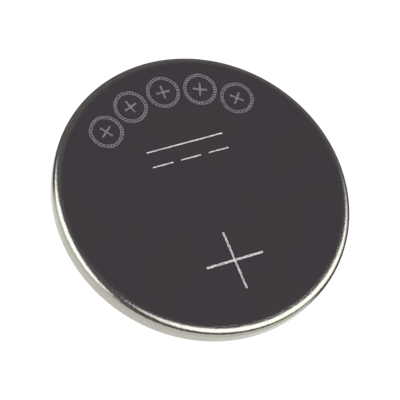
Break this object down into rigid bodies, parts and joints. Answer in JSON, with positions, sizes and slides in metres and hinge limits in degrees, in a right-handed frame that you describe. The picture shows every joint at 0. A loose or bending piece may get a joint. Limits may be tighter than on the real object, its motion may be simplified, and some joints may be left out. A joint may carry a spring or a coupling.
{
  "type": "lithium coin cell",
  "caption": "Flat round lithium coin cell: steel can with a rolled edge, stepped steel cap, plastic sealing ring and a stack of discs inside.",
  "frame": {"origin": "centre of the negative contact face, on the surface that the cell lies on", "axes": "+Z through the positive face, along the axis of the cell; +Y from the large plus towards the row of rings"},
  "size_m": [0.02, 0.02, 0.0025],
  "materials": {
    "can_steel": "bright rolled stainless steel, nearly a mirror",
    "cap_steel": "rolled stainless steel with a fine satin grain",
    "gasket_plastic": "natural moulded polypropylene",
    "lithium_foil": "soft dull silver foil",
    "fleece": "thin white non-woven",
    "pressed_oxide": "matt black pressed powder",
    "collector_steel": "thin expanded stainless steel"
  },
  "bodies": {
    "root": {"positive_can": "can_steel", "negative_cap": "cap_steel", "gasket": "gasket_plastic", "anode_disc": "lithium_foil", "separator": "fleece", "cathode_pellet": "pressed_oxide", "cathode_collector": "collector_steel"}
  },
  "joints": []
}
